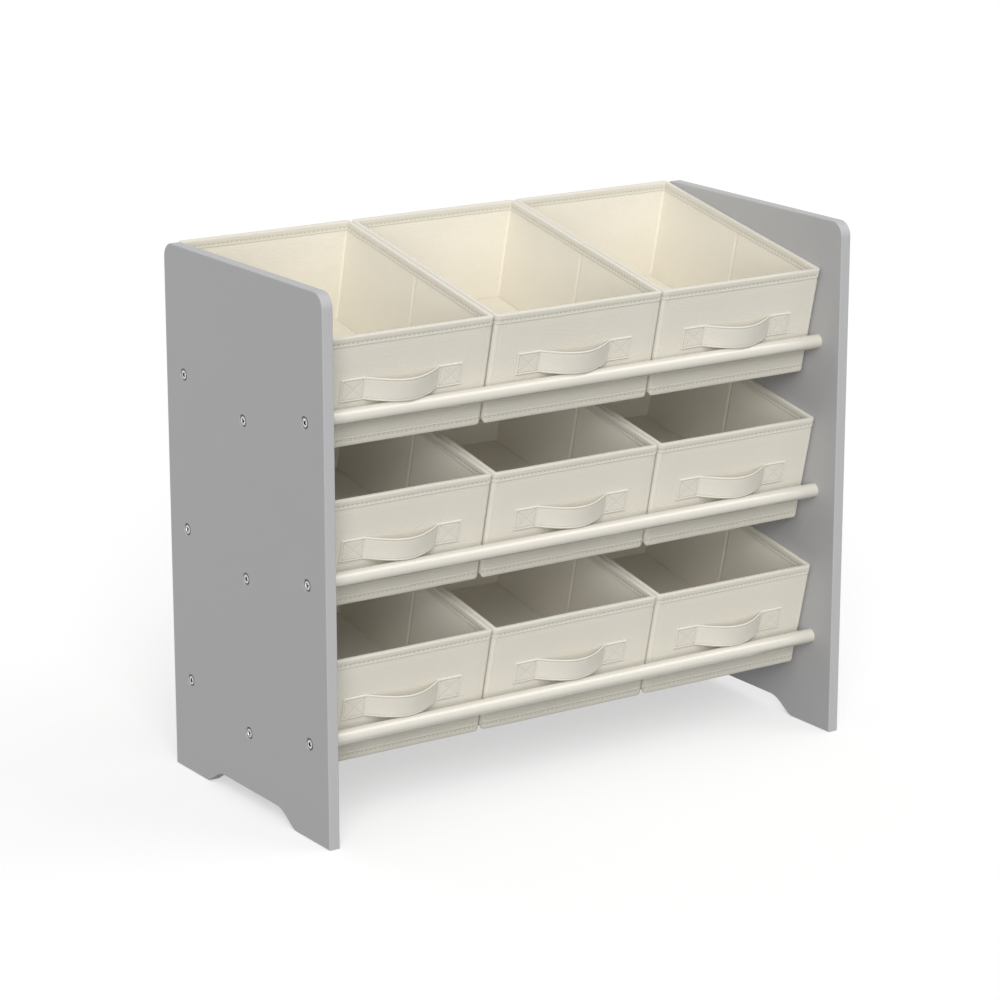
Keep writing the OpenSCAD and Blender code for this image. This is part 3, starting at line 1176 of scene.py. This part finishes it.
@dataclass(frozen=True)
class SidePanel:
    """A painted side panel: rounded at the top, with an ogee between its feet and nine countersunk holes."""

    side: Side
    top_corner: float = 15.5 * MM
    foot: float = 65 * MM
    ogee: float = 36.5 * MM
    arch: float = 15.7 * MM
    foot_curve: float = 0.12
    arch_curve: float = 0.5
    ease: float = 1.1 * MM
    corner_steps: int = 18
    curve_steps: int = 18
    sink: float = 6.55 * MM
    mouth: float = 6.4 * MM
    mouth_depth: float = 1.9 * MM
    bore: float = 6.2 * MM
    over: float = 1 * MM

    @property
    def node(self) -> str:
        """The panel's CAD node."""
        return f"{self.side.label}_panel"

    @property
    def face(self) -> float:
        """The X of the panel's outer face."""
        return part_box(self.node)[0 if self.side is Side.LEFT else 1].x

    def rise(self, along: float) -> float:
        """Gives the height of the cut-out's edge at a distance past the foot."""
        share = min(1.0, max(0.0, along / self.ogee))
        steep = 1 / (1 - (self.foot_curve + self.arch_curve) / 2)
        if share < self.foot_curve:
            return self.arch * steep * share ** 2 / (2 * self.foot_curve)
        if share < 1 - self.arch_curve:
            return self.arch * steep * (share - self.foot_curve / 2)
        return self.arch * (1 - steep * (1 - share) ** 2 / (2 * self.arch_curve))

    def blank(self) -> BMesh:
        """Makes the board without its holes, with eased edges."""
        low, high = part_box(self.node)
        bm = box_shape(low, high)
        top = [e for e in bm.edges if all(v.co.z > low.z + self.top_corner for v in e.verts)
               and abs(e.verts[0].co.y - e.verts[1].co.y) < self.ease]
        round_off(bm, [e for e in top if e.calc_length() < self.foot], self.top_corner, self.corner_steps)
        steps = [self.foot + self.ogee * index / self.curve_steps for index in range(self.curve_steps + 1)]
        for y in [low.y + step for step in steps] + [high.y - step for step in steps]:
            geom = bm.verts[:] + bm.edges[:] + bm.faces[:]
            bmesh.ops.bisect_plane(bm, geom=geom, plane_co=(0, y, 0), plane_no=(0, 1, 0), dist=1e-7)
        for vert in bm.verts:
            if vert.co.z < low.z + self.ease:
                vert.co.z += self.rise(min(vert.co.y - low.y, high.y - vert.co.y) - self.foot)
        bmesh.ops.dissolve_limit(bm, angle_limit=math.radians(0.2), verts=bm.verts, edges=bm.edges)
        outline = [e for e in bm.edges if len(e.link_faces) == 2
                   and (abs(e.link_faces[0].normal.x) > 0.9) != (abs(e.link_faces[1].normal.x) > 0.9)]
        round_off(bm, outline, self.ease)
        return bm

    def drills(self) -> BMesh:
        """Makes the shape of the nine holes: each with a wide mouth, a countersink and a bore."""
        low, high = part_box(self.node)
        over, out = self.over, self.side.value
        bits = ((self.mouth, self.mouth, self.mouth_depth, 48), (self.sink + over, 0.0, self.sink, 48),
                (self.bore / 2, self.bore / 2, high.x - low.x + over, 32))
        bm = bmesh.new()
        for node in TUBES:
            axis = middle_of(node)
            for outer, inner, end, sides in bits:
                middle = Vector((self.face - out * (end - over) / 2, axis.y, axis.z))
                turned = Matrix.Translation(middle) @ Matrix.Rotation(-out * math.pi / 2, 4, "Y")
                bmesh.ops.create_cone(bm, cap_ends=True, segments=sides, radius1=outer, radius2=inner,
                                      depth=end + over, matrix=turned)
        return bm

    def build(self, paint: Material) -> None:
        """Makes the panel and evens out its shading over the eased edges."""
        board = cut_away(self.blank(), self.drills())
        name = f"{self.side.label}_side_board"
        piece = add_piece(board, name, paint, FRAME_BODY, "panel_paint", [self.node])
        even = piece.modifiers.new("even_shading", "WEIGHTED_NORMAL")
        even.weight, even.keep_sharp = 100, True


@dataclass(frozen=True)
class CrossScrews:
    """The nine countersunk cross-head screws of one panel."""

    side: Side
    head: float = 11 * MM
    shank: float = 6 * MM
    sunk: float = 1 * MM
    reach: float = 31 * MM
    dome: float = 0.9 * MM
    recess: float = 5.8 * MM
    recess_tip: float = 2.6 * MM
    arm: float = 2.0 * MM
    arm_tip: float = 1.1 * MM
    recess_depth: float = 2.4 * MM
    first_turn: float = 0.9
    next_turn: float = 2.4

    def turned(self) -> BMesh:
        """Turns one screw on +Z, its head at the top."""
        edge, rim = self.head / 2, 0.3 * MM
        neck = (self.head - self.shank) / 2
        domed = [(0.0, 1.0), (0.35, 0.97), (0.62, 0.84), (0.82, 0.56), (0.93, 0.28), (0.985, 0.02)]
        outline = [(edge * out, self.dome * up) for out, up in domed]
        outline += [(edge, -0.1 * MM), (edge, -rim), (self.shank / 2, -rim - neck),
                    (self.shank / 2, -self.reach + 2 * MM), (0.6 * MM, -self.reach), (0.0, -self.reach)]
        bm = bmesh.new()
        verts = [bm.verts.new((radius, 0, height)) for radius, height in outline]
        geom = verts + [bm.edges.new(pair) for pair in zip(verts, verts[1:])]
        bmesh.ops.spin(bm, geom=geom, cent=(0, 0, 0), axis=UP, angle=math.tau, steps=40, use_merge=True)
        bmesh.ops.remove_doubles(bm, verts=bm.verts, dist=0.001 * MM)
        return bm

    def driver(self, turn: float) -> BMesh:
        """Makes one tapered bar of the cross recess."""
        bm = bmesh.new()
        bmesh.ops.create_cube(bm, size=1.0)
        over = self.dome + 0.3 * MM
        for vert in bm.verts:
            tip = vert.co.z < 0
            wide, thick = (self.recess_tip, self.arm_tip) if tip else (self.recess, self.arm)
            height = -self.recess_depth if tip else over
            vert.co = Vector((vert.co.x * wide, vert.co.y * thick, height))
        bmesh.ops.rotate(bm, cent=(0, 0, 0), matrix=Matrix.Rotation(turn, 3, "Z"), verts=bm.verts)
        return bm

    def build(self, plating: Material) -> None:
        """Drives the nine screws in, each stopped at its own turn."""
        screw = cut_away(cut_away(self.turned(), self.driver(0.0)), self.driver(math.pi / 2))
        model = as_mesh("one_screw", screw)
        name, out = self.side.label, self.side.value
        seat = SidePanel(self.side).face - out * self.sunk
        bm = bmesh.new()
        for index, node in enumerate(TUBES):
            axis = middle_of(node)
            turn = Matrix.Rotation(self.first_turn + self.next_turn * index, 4, "Z")
            facing = Matrix.Rotation(out * math.pi / 2, 4, "Y")
            place = Matrix.Translation((seat, axis.y, axis.z)) @ facing @ turn
            before = set(bm.verts)
            bm.from_mesh(model)
            bmesh.ops.transform(bm, matrix=place, verts=[v for v in bm.verts if v not in before])
        add_piece(bm, f"{name}_cross_head_screws", plating, FRAME_BODY, "screw_steel", [f"{name}_screws"],
                  math.radians(30))


def pointing(turn: float, height: float) -> Vector:
    """Gives the direction at a turn to the right of straight back and at a height over level, in radians."""
    return Vector((math.sin(turn) * math.cos(height), math.cos(turn) * math.cos(height), math.sin(height)))


@dataclass(frozen=True)
class Lamp:
    """A soft lamp far away."""

    name: str
    energy: float
    height: float
    turn: float
    angle: float

    def hang(self) -> None:
        """Hangs the lamp; the turn is measured from straight in front, to the left where it is negative."""
        lamp = bpy.data.lights.new(self.name, "SUN")
        lamp.energy, lamp.angle = self.energy, math.radians(self.angle)
        towards = pointing(math.pi - math.radians(self.turn), math.radians(self.height))
        linked(self.name, lamp).rotation_euler = towards.to_track_quat("Z", "Y").to_euler()


@dataclass(frozen=True)
class Studio:
    """The pale floor, the soft light and the camera."""

    floor_size: float = 60.0
    floor_level: float = -0.2 * MM
    floor_shown: float = 1.0
    floor_thrown: float = 0.16
    shadow: float = 0.5
    sky: float = 0.47
    lamps: tuple[Lamp, ...] = (
        Lamp("key", 1.38, 38, -30, 34),
        Lamp("fill", 1.55, 12, -32, 40),
        Lamp("sheen", 0.55, 48, 50, 36),
        Lamp("side", 0.6, 8, 100, 40),
        Lamp("back", 0.5, 14, 190, 36),
    )
    lens: float = 124.39
    stand: Triple = (-1.9263, -2.8547, 1.2217)
    yaw: float = 0.5921
    pitch: float = -0.2708

    def light_world(self) -> None:
        """Lights from all round, and shows white behind."""
        world = bpy.data.worlds.new("studio")
        bpy.context.scene.world = world
        tree = ShaderTree.of_world(world)
        dim, white = (tree.node("ShaderNodeBackground", inputs={"Color": WHITE, "Strength": strength})
                      for strength in (self.sky, 1.0))
        inputs = {"Fac": tree.seen(), "Shader": dim.outputs[0], "Shader_001": white.outputs[0]}
        mixed = tree.node("ShaderNodeMixShader", inputs=inputs)
        tree.node("ShaderNodeOutputWorld", inputs={"Surface": mixed.outputs[0]})

    def lay_floor(self) -> None:
        """Lays a floor that shows pale with a soft shadow, and throws back little light."""
        tree = ShaderTree("pale_floor")
        plain, thrown = (tree.node("ShaderNodeBsdfDiffuse", inputs={"Color": (level,) * 3})
                         for level in (self.floor_shown, self.floor_thrown))
        white = tree.node("ShaderNodeEmission", inputs={"Color": WHITE, "Strength": 1.0})
        inputs = {"Fac": self.shadow, "Shader": white.outputs[0], "Shader_001": plain.outputs[0]}
        shown = tree.node("ShaderNodeMixShader", inputs=inputs)
        inputs = {"Fac": tree.seen(), "Shader": thrown.outputs[0], "Shader_001": shown.outputs[0]}
        mixed = tree.node("ShaderNodeMixShader", inputs=inputs)
        tree.node("ShaderNodeOutputMaterial", inputs={"Surface": mixed.outputs[0]})
        bm = bmesh.new()
        bmesh.ops.create_grid(bm, x_segments=1, y_segments=1, size=self.floor_size / 2)
        bmesh.ops.translate(bm, vec=(0, 0, self.floor_level), verts=bm.verts)
        mesh = as_mesh("floor", bm)
        mesh.materials.append(tree.material)
        floor = linked("floor", mesh)

    def set_camera(self) -> None:
        """Stands the camera where the photograph was taken from."""
        lens = bpy.data.cameras.new("camera")
        lens.lens, lens.sensor_width, lens.clip_end = self.lens, 36.0, 100.0
        camera = linked("camera", lens)
        camera.location = self.stand
        camera.rotation_euler = pointing(self.yaw, self.pitch).to_track_quat("-Z", "Y").to_euler()
        bpy.context.scene.camera = camera

    def build(self) -> None:
        """Sets up the whole studio."""
        self.light_world()
        for lamp in self.lamps:
            lamp.hang()
        self.lay_floor()
        self.set_camera()
        bpy.context.scene.view_settings.view_transform = "Standard"
        log.info("studio: floor, light and camera")


def main() -> None:
    """Builds the shelf piece by piece."""
    logging.basicConfig(level=logging.INFO, format="%(message)s")
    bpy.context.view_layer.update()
    finishes = Finishes.mixed()
    for side in Side:
        SidePanel(side).build(finishes.paint)
        CrossScrews(side).build(finishes.plating)
        dress(f"{side.label}_plugs", finishes.plastic)
    for node in TUBES:
        dress(node, finishes.enamel)
    BinWorks(Bin(Tier.UPPER, Column.CENTRE).cut()).sew(finishes)
    Studio().build()


if __name__ == "__main__":
    main()
